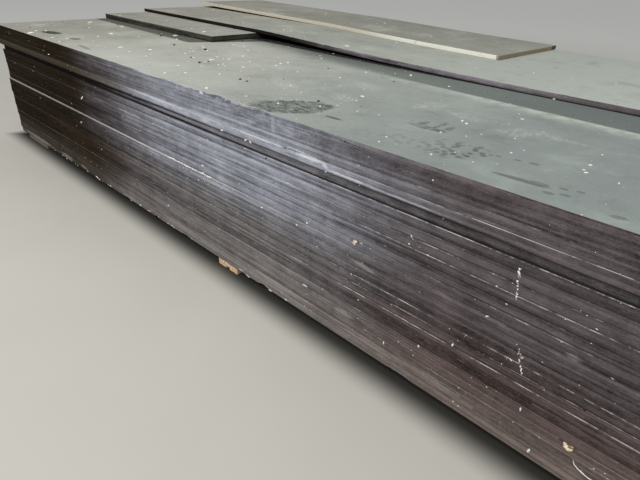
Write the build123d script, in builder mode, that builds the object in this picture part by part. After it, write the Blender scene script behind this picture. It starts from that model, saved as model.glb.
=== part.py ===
from build123d import *
import os
from math import atan2, cos, degrees, radians, sin

# A stack of film faced plywood sheets on low bearers, with loose cut boards on top.
# The stack is laid out from its front left bottom corner: X runs along the sheets,
# Y from the front edges to the back, Z up from the ground. At the end every piece
# is moved so that the origin lies under the middle of the whole, at ground level.

# Full sheets
sheet_length = 2440.0
sheet_width = 1220.0
sheet_thickness = 18.0
sheet_count = 23
sheet_arris = 0.7

# How the sheets lie: each group gives its last sheet, counted from the bottom, how far
# its front edge is set back at the left and the right end, and its shift to the right.
lower_group = (12, -6.0, 3.0, 0.0)
upper_group = (18, 0.0, 0.0, 2.0)
recessed_sheet = (19, 6.0, 5.0, 4.0)
top_group = (sheet_count, -4.5, -3.5, -5.0)
front_unevenness = 0.8
end_unevenness = 2.4
corner_radius = 1.5

# Broken places on the sheets' front arrises: the sheet, counted from the bottom, how far
# the place's middle is from the left end, its length and its depth
broken_upper_arrises = (
    (23, 1328.0, 92.0, 2.6),
    (23, 1444.0, 96.0, 7.5),
    (23, 1500.0, 44.0, 4.0),
    (23, 1556.0, 104.0, 5.0),
    (20, 1662.0, 60.0, 2.2),
    (19, 2050.0, 48.0, 2.4),
    (16, 2121.0, 26.0, 2.6),
    (13, 1819.0, 30.0, 4.2),
    (10, 2146.0, 34.0, 3.0),
    (4, 2245.0, 32.0, 6.0),
)
broken_lower_arrises = (
    (21, 2060.0, 90.0, 1.8),
    (3, 2050.0, 52.0, 4.6),
    (1, 903.0, 60.0, 3.4),
    (1, 1088.0, 44.0, 4.2),
    (1, 1236.0, 70.0, 3.6),
    (1, 1560.0, 52.0, 4.0),
    (1, 1946.0, 64.0, 3.0),
)

# Bearers, laid across under the stack
bearer_thickness = 18.0
wide_bearer_width = 196.0
wide_bearer_from_end = 50.0
bearer_width = 75.0
middle_bearer_from_end = 1385.0
right_bearer_from_end = 75.0
bearer_length = 1210.0
bearer_set_back = 1.0
bearer_arris = 1.0
notch_width = 15.0
notch_height = 6.0
notch_depth = 34.0
notch_from_side = 29.0

# Short cut board on the top sheet, at the left end
offcut_length = 818.0
offcut_width = 610.0
offcut_set_back = 434.0
offcut_from_end = -8.0
offcut_turn = -1.1

# Long cut board, which lies on the short one and bends down to the top sheet
thin_thickness = 12.5
thin_arris = 0.5
long_length = 2440.0
long_width = 675.0
long_left_corner = (-30.0, 632.0)
long_turn = -1.66
bend_clearance = 6.0
crest_run = 110.0
hollow_run = 1010.0
nick_from_end = 1952.0
nick_length = 36.0
nick_depth = 5.0

# Tapered board with one raw sawn edge, on the long board at the back
raw_length = 1645.0
raw_right_width = 402.0
raw_left_width = 367.0
raw_overhang_back = 12.0
raw_overhang_left = 5.0
raw_lift = 9.0
seat_gap = 0.2

stack_bottom = bearer_thickness
stack_top = stack_bottom + sheet_count * sheet_thickness

pieces = {}


def keep(part, name):
    part.label = name
    pieces[name] = part


def sheet_pose(number):
    """Set back at the left and right end, and shift to the right, of one sheet."""
    for last, left, right, shift in (lower_group, upper_group, recessed_sheet, top_group):
        if number <= last:
            break
    left += front_unevenness * sin(2.3 * number)
    right += front_unevenness * sin(3.1 * number + 1.0)
    shift += end_unevenness * sin(1.7 * number + 0.5)
    return left, right, shift


def sheet_plane(number):
    """Plane of a sheet's underside, with its origin at the sheet's front left corner."""
    left, right, shift = sheet_pose(number)
    turn = degrees(atan2(right - left, sheet_length))
    level = stack_bottom + (number - 1) * sheet_thickness
    return Plane(origin=(shift, left, level), z_dir=(0, 0, 1)).rotated((0, 0, turn))


def break_arris(frame, along, level, upward, length, depth):
    """Cut a shallow hollow out of a front arris, across its corner.

    frame has its origin on the front edge, its X axis along it and its Z axis up.
    """
    radius = (length**2 / 4 + depth**2) / (2 * depth)
    outward = (frame.z_dir * upward - frame.y_dir).normalized()
    across = (frame.z_dir * upward + frame.y_dir).normalized()
    arris = frame.from_local_coords(Vector(along, 0, level))
    with Locations(Plane(origin=arris + outward * (radius - depth), z_dir=across)):
        Cylinder(radius=radius, height=6 * depth, mode=Mode.SUBTRACT)


def make_sheet(number):
    frame = sheet_plane(number)
    with BuildPart() as sheet:
        with BuildSketch(frame):
            Rectangle(sheet_length, sheet_width, align=(Align.MIN, Align.MIN))
        extrude(amount=sheet_thickness)
        fillet(sheet.edges().filter_by(Axis.Z), radius=corner_radius)
        rims = sheet.edges().group_by(Axis.Z)
        chamfer(rims[0] + rims[-1], length=sheet_arris)
        for broken, along, length, depth in broken_upper_arrises:
            if broken == number:
                break_arris(frame, along, sheet_thickness, 1, length, depth)
        for broken, along, length, depth in broken_lower_arrises:
            if broken == number:
                break_arris(frame, along, 0, -1, length, depth)
    keep(sheet.part, f"sheet_{number:02d}")


def make_bearer(name, left, width, notched=False):
    with BuildPart() as bearer:
        with BuildSketch(Plane.XY):
            with Locations((left, bearer_set_back)):
                Rectangle(width, bearer_length, align=(Align.MIN, Align.MIN))
        extrude(amount=bearer_thickness)
        chamfer(bearer.edges().filter_by(Axis.Y), length=bearer_arris)
        if notched:
            # a piece broken out of the lower edge of the front end
            with BuildSketch(Plane.XY):
                with BuildLine():
                    Polyline(
                        (left + notch_from_side, bearer_set_back),
                        (left + notch_from_side + notch_width, bearer_set_back),
                        (left + notch_from_side + 0.6 * notch_width, bearer_set_back + notch_depth),
                        close=True,
                    )
                make_face()
            extrude(amount=notch_height, mode=Mode.SUBTRACT)
    keep(bearer.part, name)


def make_offcut():
    front_left = Plane(origin=(offcut_from_end, offcut_set_back, stack_top), z_dir=(0, 0, 1))
    with BuildPart() as offcut:
        with BuildSketch(front_left.rotated((0, 0, offcut_turn))):
            Rectangle(offcut_length, offcut_width, align=(Align.MIN, Align.MIN))
        extrude(amount=sheet_thickness)
        fillet(offcut.edges().filter_by(Axis.Z), radius=corner_radius)
        rims = offcut.edges().group_by(Axis.Z)
        chamfer(rims[0] + rims[-1], length=sheet_arris)
    keep(offcut.part, "offcut_board")


# The long board's own frame: its left front corner, at the level of the top sheet
long_frame = Plane(origin=(*long_left_corner, stack_top), z_dir=(0, 0, 1)).rotated((0, 0, long_turn))

# The bend starts just past the short board's right end: a short arc over the crest, then
# a long hollow one that ends level on the top sheet
turn_between = radians(offcut_turn - long_turn)
offcut_right = offcut_from_end + offcut_length - long_left_corner[0]
bend_start = offcut_right / cos(turn_between) + offcut_width * sin(abs(turn_between)) + bend_clearance
bend_drop = sheet_thickness
bend_run = crest_run + hollow_run
bend_angle = degrees(2 * atan2(bend_drop, bend_run))


def bend_points(above):
    """Start, turning point and end of the bend, this far above the long board's underside."""
    lean = radians(bend_angle)
    turning_height = bend_drop * hollow_run / bend_run
    start = Vector(bend_start, bend_drop + above)
    turning = Vector(bend_start + crest_run + above * sin(lean), turning_height + above * cos(lean))
    end = Vector(bend_start + bend_run, above)
    return start, turning, end


def bent_profile(left, right, lower, upper, lift=0.0):
    """Side view of a board that follows the bend, between its two heights above it."""
    low_start, low_turning, low_end = bend_points(lower)
    up_start, up_turning, up_end = bend_points(upper)
    with BuildLine() as outline:
        Line((left, low_start.Y + lift), low_start)
        TangentArc(low_start, low_turning, tangent=(1, 0))
        TangentArc(low_end, low_turning, tangent=(-1, 0))
        Line(low_end, (right, low_end.Y))
        Line((right, low_end.Y), (right, up_end.Y))
        Line((right, up_end.Y), up_end)
        TangentArc(up_end, up_turning, tangent=(-1, 0))
        TangentArc(up_start, up_turning, tangent=(1, 0))
        Line(up_start, (left, up_start.Y + lift))
        Line((left, up_start.Y + lift), (left, low_start.Y + lift))
    return outline.edges()


def side_plane(across):
    """Upright plane along the long board, with its Y axis up."""
    corner = long_frame.from_local_coords(Vector(0, across, 0))
    return Plane(origin=corner, x_dir=long_frame.x_dir, z_dir=long_frame.y_dir * -1)


def make_long_board():
    with BuildPart() as board:
        with BuildSketch(side_plane(0)):
            make_face(bent_profile(0.0, long_length, 0.0, thin_thickness))
        extrude(amount=-long_width)
        across = board.faces().sort_by(Axis((0, 0, 0), long_frame.y_dir))
        along = board.faces().sort_by(Axis((0, 0, 0), long_frame.x_dir))
        rims = across[0].edges() + across[-1].edges() + along[0].edges() + along[-1].edges()
        upright = rims.filter_by(Axis.Z)
        chamfer([edge for edge in rims if edge not in upright], length=thin_arris)
        break_arris(long_frame, nick_from_end, thin_thickness, 1, nick_length, nick_depth)
    keep(board.part, "long_board")


def make_raw_edge_board():
    seat = thin_thickness + seat_gap
    back = long_width + raw_overhang_back
    left = -raw_overhang_left
    with BuildPart() as board:
        with BuildSketch(side_plane(back)):
            make_face(bent_profile(left, long_length, seat, seat + thin_thickness, raw_lift))
        extrude(amount=max(raw_left_width, raw_right_width))
        with BuildSketch(long_frame.offset(-1)):
            with BuildLine():
                Polyline(
                    (left, back),
                    (left, back - raw_left_width),
                    (left + raw_length, back - raw_right_width),
                    (left + raw_length, back),
                    close=True,
                )
            make_face()
        extrude(amount=4 * sheet_thickness, mode=Mode.INTERSECT)
    keep(board.part, "raw_edge_board")


make_bearer("left_bearer", wide_bearer_from_end, wide_bearer_width)
make_bearer("middle_bearer", middle_bearer_from_end, bearer_width, notched=True)
make_bearer("right_bearer", sheet_length - right_bearer_from_end - bearer_width, bearer_width)
for sheet_number in range(1, sheet_count + 1):
    make_sheet(sheet_number)
make_offcut()
make_long_board()
make_raw_edge_board()

# Origin under the middle of everything
boxes = [part.bounding_box() for part in pieces.values()]
left_end = min(box.min.X for box in boxes)
right_end = max(box.max.X for box in boxes)
front = min(box.min.Y for box in boxes)
back = max(box.max.Y for box in boxes)
to_origin = Location((-(left_end + right_end) / 2, -(front + back) / 2, 0))

os.makedirs("parts", exist_ok=True)
for name, part in pieces.items():
    placed = part.moved(to_origin)
    placed.label = name
    export_step(placed, f"parts/{name}.step")
print("footprint", round(left_end, 2), round(right_end, 2), round(front, 2), round(back, 2))
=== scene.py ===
import math
import random
from dataclasses import dataclass

import bpy
from mathutils import Matrix, Vector, noise


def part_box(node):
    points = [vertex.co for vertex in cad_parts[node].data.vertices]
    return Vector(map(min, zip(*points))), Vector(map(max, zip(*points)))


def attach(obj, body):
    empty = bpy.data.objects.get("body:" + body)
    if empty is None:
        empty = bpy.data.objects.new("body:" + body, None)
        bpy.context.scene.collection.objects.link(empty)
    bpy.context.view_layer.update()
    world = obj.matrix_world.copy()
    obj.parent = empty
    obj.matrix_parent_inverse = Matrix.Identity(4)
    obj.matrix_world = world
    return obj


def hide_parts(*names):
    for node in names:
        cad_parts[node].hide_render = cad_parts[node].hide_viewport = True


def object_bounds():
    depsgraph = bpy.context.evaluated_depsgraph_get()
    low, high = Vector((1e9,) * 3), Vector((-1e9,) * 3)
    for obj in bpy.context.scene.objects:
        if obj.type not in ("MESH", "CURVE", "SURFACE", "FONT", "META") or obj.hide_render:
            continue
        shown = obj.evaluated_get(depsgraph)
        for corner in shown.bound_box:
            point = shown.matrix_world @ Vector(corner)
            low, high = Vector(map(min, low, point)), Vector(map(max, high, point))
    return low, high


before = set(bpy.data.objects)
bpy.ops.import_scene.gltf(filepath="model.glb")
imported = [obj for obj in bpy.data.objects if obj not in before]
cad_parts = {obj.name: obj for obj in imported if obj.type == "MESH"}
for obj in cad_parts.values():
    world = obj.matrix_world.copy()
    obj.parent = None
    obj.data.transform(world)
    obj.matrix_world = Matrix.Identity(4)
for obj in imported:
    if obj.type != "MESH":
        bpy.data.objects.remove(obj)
cad_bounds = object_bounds()

# The stack's own measure: metres from its front left corner, X along, Y to the back
MIDDLE_BEARER_FROM_END = 1.385
BEARER_SET_BACK = 0.001
bearer_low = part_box("middle_bearer")[0]
STACK = Vector((bearer_low.x - MIDDLE_BEARER_FROM_END, bearer_low.y - BEARER_SET_BACK, 0))

LENGTH = 2.44
WIDTH = 1.22
SHEET = 0.018
SHEETS = 23
STACK_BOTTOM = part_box("sheet_01")[0].z
STACK_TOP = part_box("sheet_23")[1].z
THIN = 0.0125
# the sheet that forms the ledge, and the one below the sheet that stands back
LEDGE_SHEET = 12
RECESS_SHEET = 18

# Broken places on the front arrises: sheet, middle from the left end, length and depth,
# and how far they show raw wood
BROKEN_UPPER = (
    (23, 1.328, 0.092, 0.0026), (23, 1.444, 0.096, 0.0075), (23, 1.5, 0.044, 0.004),
    (23, 1.556, 0.104, 0.005), (20, 1.662, 0.06, 0.0022), (19, 2.05, 0.048, 0.0024),
    (16, 2.121, 0.026, 0.0026), (13, 1.819, 0.03, 0.0042, 0.62), (10, 2.146, 0.034, 0.003, 0.5),
    (4, 2.24, 0.032, 0.006, 1),
)
BROKEN_LOWER = (
    (21, 2.06, 0.09, 0.0018), (3, 2.05, 0.052, 0.0046), (1, 0.903, 0.06, 0.0034),
    (1, 1.088, 0.044, 0.0042), (1, 1.236, 0.07, 0.0036), (1, 1.56, 0.052, 0.004),
    (1, 1.946, 0.064, 0.003),
)


def srgb(red, green, blue):
    """A colour given as it looks on screen, 0 to 255, in Blender's linear numbers."""
    def linear(value):
        value /= 255
        return value / 12.92 if value <= 0.04045 else ((value + 0.055) / 1.055) ** 2.4
    return linear(red), linear(green), linear(blue), 1


def put(tree, socket, value):
    """Give a socket a value, or link it to the socket that has it."""
    if isinstance(value, bpy.types.NodeSocket):
        tree.links.new(value, socket)
    else:
        socket.default_value = value


def add_node(tree, kind, *inputs, **settings):
    """A new node. inputs are pairs of a socket's name or number and its value."""
    node = tree.nodes.new("ShaderNode" + kind)
    for name, value in settings.items():
        setattr(node, name, value)
    for name, value in inputs:
        put(tree, node.inputs[name], value)
    return node


class Graph:
    """A material's node tree, built by short calls. Every value may be a number or a socket."""

    def __init__(self, name):
        self.material = bpy.data.materials.new(name)
        self.material.use_nodes = True
        self.tree = self.material.node_tree
        self.tree.nodes.clear()
        self.shader = self.node("BsdfPrincipled")
        self.node("OutputMaterial", ("Surface", self.shader.outputs[0]))
        coords = self.node("TexCoord").outputs["Object"]
        self.place = self.vector("SUBTRACT", coords, tuple(STACK))
        self.x, self.y, self.z = self.node("SeparateXYZ", (0, self.place)).outputs
        self.color = None

    def node(self, kind, *inputs, **settings):
        return add_node(self.tree, kind, *inputs, **settings)

    def math(self, operation, *values):
        return self.node("Math", *enumerate(values), operation=operation).outputs[0]

    def vector(self, operation, *values):
        return self.node("VectorMath", *enumerate(values), operation=operation).outputs[0]

    def fold(self, operation, values):
        """One operation over all the values, from left to right."""
        total = values[0]
        for value in values[1:]:
            total = self.math(operation, total, value)
        return total

    def add(self, *values):
        return self.fold("ADD", values)

    def times(self, *values):
        return self.fold("MULTIPLY", values)

    def most(self, *values):
        return self.fold("MAXIMUM", values)

    def cells(self, vector, scale, distance):
        """Outputs of a pattern of cells around scattered points."""
        return self.node("TexVoronoi", ("Vector", vector), ("Scale", scale), distance=distance).outputs

    def blocks(self, size, offset=(0, 0, 0)):
        """A random value for each of many long patches with straight borders."""
        cells = self.cells(self.vector("MULTIPLY_ADD", self.place, size, offset), 1, "CHEBYCHEV")
        return self.node("SeparateColor", (0, cells["Color"])).outputs[0]

    def ramp(self, value, low, high, start=0, end=1):
        """Goes smoothly from start to end as value goes from low to high."""
        if high < low:
            low, high, start, end = high, low, end, start
        node = self.node(
            "MapRange", ("Value", value), ("From Min", low), ("From Max", high),
            ("To Min", start), ("To Max", end), interpolation_type="SMOOTHSTEP",
        )
        return node.outputs["Result"]

    def band(self, value, start, full, fade, end):
        """1 from full to fade, and 0 before start and beyond end."""
        return self.times(self.ramp(value, start, full), self.ramp(value, end, fade))

    def noise(self, scale, detail=3, roughness=0.55, stretch=(1, 1, 1), offset=(0, 0, 0)):
        place = self.vector("MULTIPLY_ADD", self.place, stretch, offset)
        node = self.node(
            "TexNoise", ("Vector", place), ("Scale", scale), ("Detail", detail), ("Roughness", roughness),
        )
        return node.outputs["Fac"]

    def attribute(self, name):
        return self.node("Attribute", attribute_name=name).outputs["Fac"]

    def mix(self, amount, first, second):
        """From the first colour to the second. A colour may be three numbers from 0 to 255."""
        values = [srgb(*value) if isinstance(value, tuple) else value for value in (first, second)]
        return self.node("Mix", *zip((0, 6, 7), (amount, *values)), data_type="RGBA").outputs[2]

    def lay(self, amount, color):
        """Lay a colour over what is there."""
        self.color = self.mix(amount, self.color, color)

    def bump(self, height, distance):
        return self.node("Bump", ("Height", height), ("Distance", distance)).outputs[0]

    def oval(self, across, up, x, y, length, width, turn, soft, wobble):
        """A spot on the plane of two coordinates: 1 inside, 0 outside, with a soft uneven rim."""
        cosine = math.cos(math.radians(turn))
        sine = math.sin(math.radians(turn))
        dx = self.math("SUBTRACT", across, x)
        dy = self.math("SUBTRACT", up, y)
        along = self.add(self.times(dx, cosine), self.times(dy, sine))
        aside = self.add(self.times(dx, -sine), self.times(dy, cosine))
        far = self.add(
            self.math("POWER", self.math("ABSOLUTE", self.times(along, 2 / length)), 2),
            self.math("POWER", self.math("ABSOLUTE", self.times(aside, 2 / width)), 2),
            wobble,
        )
        return self.ramp(far, 1 + soft, 1 - soft)

    def finish(self, roughness, normal, specular):
        for name, value in (("Base Color", self.color), ("Roughness", roughness), ("Normal", normal),
                            ("Specular IOR Level", specular)):
            put(self.tree, self.shader.inputs[name], value)
        return self.material


# Materials

DUST = (182, 183, 173)
DUST_COOL = (142, 149, 146)
DUST_WARM = (163, 160, 149)
DUST_CREAM = (206, 205, 193)
FILM = (88, 96, 92)


def dusty_face(name, light=DUST, dark=DUST_COOL, marks=None):
    """Film face under a layer of dust.

    marks(graph, grain) gives clean strips, ridges of dust, dark marks, pale marks and unlit places.
    """
    g = Graph(name)
    clouds = g.noise(2.3, 5, 0.6)
    g.color = g.mix(g.ramp(g.add(g.x, g.times(clouds, 0.7)), 1.25, 2.55), light, dark)
    g.lay(g.ramp(g.add(g.x, g.times(clouds, 0.4)), 1.05, 0.45), DUST_WARM)
    patches = g.noise(7.5, 8, 0.68)
    cream = g.mix(g.ramp(g.x, 1.25, 1.75), DUST_CREAM, (176, 184, 177))
    g.lay(g.ramp(patches, 0.49, 0.7, 0, 0.44), cream)
    g.lay(g.ramp(patches, 0.49, 0.28, 0, 0.42), (112, 117, 111))
    thin = g.noise(24, 6, 0.62, offset=(3.1, 0.7, 0))
    bare = g.ramp(thin, 0.56, 0.78, 0, 0.4)
    g.lay(bare, (118, 123, 117))
    grain = g.noise(380, 3, 0.7)
    if marks is not None:
        clean, ridge, dark_marks, pale_marks, unlit = marks(g, grain)
        ridge_color = g.mix(g.ramp(g.x, 1.6, 1.9), cream, (200, 208, 194))
        # clean film where the boards lay; darker at the left, where it is a painted shadow of the short
        # board
        clean_film_and_shadow_color = g.mix(g.ramp(g.x, 0.95, 0.85), FILM, (70, 70, 64))
        dark_color = g.mix(g.ramp(g.x, 0.65, 0.45), (66, 72, 69), (30, 30, 24))
        g.lay(g.times(pale_marks, 0.6), (200, 204, 196))
        g.lay(g.times(ridge, 0.75), ridge_color)
        g.lay(g.times(clean, 0.84), clean_film_and_shadow_color)
        g.lay(unlit, (12, 12, 11))
        g.lay(dark_marks, dark_color)
        bare = g.most(bare, clean, dark_marks)
    strength = g.ramp(g.x, 1.9, 1.3, 0.2, 0.42)
    g.lay(g.ramp(grain, 0.55, 0.74, 0, strength), (214, 214, 202))
    g.lay(g.ramp(grain, 0.45, 0.26, 0, strength), (84, 89, 84))
    specks = g.noise(170, 1, 0.4, offset=(9, 4, 1))
    rarer = g.math("SUBTRACT", specks, g.ramp(g.x, 1.4, 2, 0.755, 0.8))
    g.lay(g.ramp(rarer, 0, 0.03, 0, 0.85), (232, 230, 220))
    normal = g.bump(g.add(patches, g.times(grain, 0.3)), 0.0008)
    return g.finish(g.ramp(bare, 0, 1, 0.9, 0.7), normal, 0.12)


# Marks in the top sheet's dust, as the photograph shows them: x, y, length, width, turn in
# degrees and softness of the rim
HAND_PRINT = (
    (1.84, 0.156, 0.072, 0.02),
    (1.82, 0.172, 0.04, 0.015, 90),
    (1.85, 0.184, 0.056, 0.01, 90),
    (1.871, 0.174, 0.046, 0.014, 90),
)
PALE_SWEEPS = (
    (1.758, 0.29, 0.06, 0.085, 0, 0.8),
    (1.846, 0.281, 0.09, 0.038, -12, 0.8),
    (1.966, 0.262, 0.105, 0.052, 48, 0.9),
    (2.04, 0.282, 0.075, 0.022, 4, 0.9),
    (1.2, 0.045, 0.3, 0.06, -4, 0.8),
    (1.6, 0.205, 0.05, 0.07, 80, 0.9),
    (1.42, 0.19, 0.14, 0.05, -30, 0.9),
    (1.56, 0.33, 0.1, 0.04, -20, 0.9),
)
# small round spots: x, y and size
SPOTS = (
    (2.086, 0.054, 0.03), (2.108, 0.034, 0.016), (2.127, 0.043, 0.015), (2.137, 0.07, 0.012),
    (2.117, 0.063, 0.013), (2.05, 0.127, 0.018), (2.026, 0.122, 0.013), (1.998, 0.116, 0.01),
    (2.196, 0.026, 0.02),
)


def top_sheet_marks(g, grain):
    """Clean strips where boards lay, their dust ridges, dark boot prints and pale sweeps."""
    fine = g.noise(60, 5, 0.7)
    wobble = g.times(g.add(fine, -0.5), 1.7)
    waves = g.noise(30, 4)
    ragged = g.times(g.add(waves, -0.5), 0.012)

    def spot(x, y, length, width, turn=0, soft=0.5):
        return g.oval(g.x, g.y, x, y, length, width, turn, soft, wobble)

    # the strips where the long board and the short board lay before they slid back
    border = g.add(g.y, g.times(g.x, 0.0663), -0.572, ragged)
    soften = g.ramp(g.x, 1.2, 1.75, 0.05, 0.004)
    share = g.math("DIVIDE", border, soften)
    strip = g.times(g.ramp(share, -1, 1), g.ramp(g.x, 0.84, 1.25))
    short_border = g.add(g.y, g.times(g.x, 0.044), ragged)
    short_end = g.ramp(g.add(g.x, g.times(g.y, -0.5)), 0.605, 0.595)
    short_strip = g.times(g.ramp(short_border, 0.381, 0.387), short_end)
    ridge = g.times(g.band(border, -0.06, -0.006, -0.002, 0.004), g.ramp(g.x, 1.2, 1.7))
    ridge = g.times(ridge, g.ramp(waves, 0.36, 0.6, 0.4, 1))
    # no light reaches the film under the boards, and little the film just before them
    from_long = g.add(g.y, g.times(g.x, 0.029))
    from_short = g.add(g.y, g.times(g.x, 0.0192))
    under_short = g.times(g.ramp(from_short, 0.434, 0.442), g.ramp(g.x, 0.812, 0.804))
    near_long = g.times(
        g.ramp(from_long, 0.52, 0.625), g.ramp(g.x, 0.8, 0.86), g.ramp(g.x, 1.75, 1.25, 0, 0.46),
    )
    joint = g.add(from_long, g.ramp(g.x, 1.05, 2.05, 0.026, 0.006))
    unlit = g.times(g.most(g.ramp(joint, 0.629, 0.636), under_short, near_long), 0.94)

    sole = g.times(spot(1.588, 0.066, 0.18, 0.098, 44, 0.25), g.ramp(g.x, 1.651, 1.643))
    tread = g.times(spot(1.932, 0.09, 0.118, 0.086, 24, 0.4), g.ramp(g.x, 1.895, 1.96, 0.45, 1))
    faint_tread = spot(1.868, 0.07, 0.15, 0.052, 14, 0.7)
    hand = g.most(*(spot(*mark) for mark in HAND_PRINT))
    spots = g.most(*(spot(x, y, size, 0.6 * size, 8) for x, y, size in SPOTS))
    strokes = g.ramp(g.noise(110, 6, 0.8), 0.46, 0.62, 0.12, 1)
    pale = g.times(strokes, g.most(*(spot(*mark) for mark in PALE_SWEEPS)))
    # thicker dust along the front in the middle, thinner towards the back
    thick = g.times(g.band(g.x, 0.45, 0.95, 1.15, 1.5), g.ramp(g.y, 0.26, 0.05))
    pale = g.most(pale, g.times(thick, 0.4))

    lumps = g.ramp(g.cells(g.place, 76, "EUCLIDEAN")["Distance"], 0.52, 0.28)
    streaks = g.noise(1, 5, 0.7, stretch=(70, 210, 1))
    lines = g.ramp(streaks, 0.4, 0.6, 0.25, 1)
    dark = g.most(
        g.times(sole, lines),
        g.times(hand, lines, 0.8),
        g.times(tread, lumps, 0.75),
        g.times(faint_tread, lumps, lines, 0.4),
        g.times(spots, 0.45),
        # a streak, a dash, two smudges and a scuff
        g.times(spot(2.064, 0.049, 0.08, 0.013, 3, 0.6), 0.62),
        g.times(spot(1.694, 0.07, 0.04, 0.01, 2), 0.8),
        g.times(spot(0.342, 0.076, 0.1, 0.044, 8, 0.45), 0.95),
        g.times(spot(0.523, 0.082, 0.05, 0.03, 4, 0.6), 0.65),
        g.times(spot(0.7, 0.036, 0.1, 0.014, -6, 0.8), 0.5),
    )
    dark = g.times(dark, g.ramp(grain, 0.3, 0.55, 0.6, 1))
    clean = g.most(g.times(strip, 0.76), short_strip)
    return clean, ridge, dark, pale, unlit


def long_board_marks(g, grain):
    """Only the gap under the raw edged board is dark, and it closes to the right."""
    under_raw = g.ramp(g.add(g.y, g.times(g.x, 0.0503)), 0.9445, 0.9515)
    unlit = g.times(under_raw, g.ramp(g.x, 1.05, 0.55, 0.3, 0.95), g.ramp(g.x, 1.618, 1.61))
    return 0, 0, 0, 0, unlit


# Marks on the stack's front, as the photograph shows them: pale scuffs, and bright marks that are
# dust on the top sheet's arris and a painted highlight along sheet 20. Their columns are x, z,
# length and width, then for the bright ones their strength, and where it isn't level the turn in
# degrees and the softness
BRIGHT_MARKS = (
    (1.688, 0.3765, 0.1, 0.01, 1, -1.5, 0.6),
    (1.565, 0.3775, 0.18, 0.0068, 0.9),
    (1.742, 0.3722, 0.024, 0.007, 0.7, -35),
    (1.8, 0.3662, 0.1, 0.0036, 0.85),
    (1.9, 0.3656, 0.15, 0.0026, 0.5),
    (1.18, 0.377, 0.28, 0.007, 0.75),
    (1.37, 0.378, 0.26, 0.0056, 0.6),
    (1.15, 0.431, 0.12, 0.0034, 0.6),
    (1.31, 0.4302, 0.09, 0.004, 0.7),
    (1.372, 0.4285, 0.014, 0.006, 1),
    (1.5, 0.4296, 0.12, 0.0036, 0.6),
)
PALE_SCUFFS = (
    (1.606, 0.414, 0.01, 0.03), (1.276, 0.424, 0.007, 0.016), (1.805, 0.079, 0.045, 0.012),
    (1.848, 0.207, 0.05, 0.007, -6), (2.005, 0.056, 0.11, 0.006), (1.61, 0.048, 0.15, 0.012),
    (0.46, 0.03, 0.09, 0.016), (0.6, 0.03, 0.05, 0.01), (0.94, 0.026, 0.1, 0.008),
    (2.209, 0.235, 0.02, 0.01), (1.23, 0.04, 0.2, 0.012), (1.87, 0.042, 0.13, 0.008),
    (0.18, 0.028, 0.26, 0.02), (1.64, 0.412, 0.05, 0.004, -10),
)


def front_marks(g):
    """The bright marks, dust with a painted highlight, and the pale scuffs on the stack's front."""
    fine = g.noise(80, 5, 0.75, stretch=(0.6, 0.6, 2))
    wobble = g.times(g.add(fine, -0.5), 4)

    def spot(x, z, length, width, turn=0, soft=0.8):
        return g.oval(g.x, g.z, x, z, length, width, turn, soft, wobble)

    bright = [
        g.times(spot(x, z, length, width, *rest), strength)
        for x, z, length, width, strength, *rest in BRIGHT_MARKS
    ]
    return g.most(*bright), g.most(*(spot(*scuff) for scuff in PALE_SCUFFS))


def front_colors(g, across, shade):
    """Painted shade at the left, bluish dust with a painted sheen in the middle, redder paint low at the
    right.
    """
    redder = g.times(g.ramp(g.z, 0.24, 0.08), g.ramp(across, 1.8, 2.1))
    g.lay(g.times(redder, 0.8), (98, 82, 78))
    # painted shade: the left end darkened to black brown
    g.lay(g.ramp(across, 1.1, 0.62), (34, 25, 13))
    lighter = g.times(g.band(g.z, 0.085, 0.11, 0.15, 0.2), g.ramp(g.x, 0.25, 0.5))
    g.lay(g.times(lighter, g.ramp(g.x, 1, 0.85), 0.12), (98, 78, 66))
    # bluish dust in the middle, partly a painted sheen
    dust_and_sheen = g.times(g.band(across, 0.72, 1.32, 1.56, 2.02), g.ramp(shade, 0.3, 0.6, 0.62, 1))
    g.lay(dust_and_sheen, g.mix(g.ramp(g.z, 0.15, 0.27), (121, 117, 117), (151, 154, 166)))
    dust = g.ramp(g.z, 0.11, 0.05, 0, g.ramp(g.x, 1.4, 1.8, 0.11, 0.2))
    g.lay(dust, (170, 160, 150))


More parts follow.
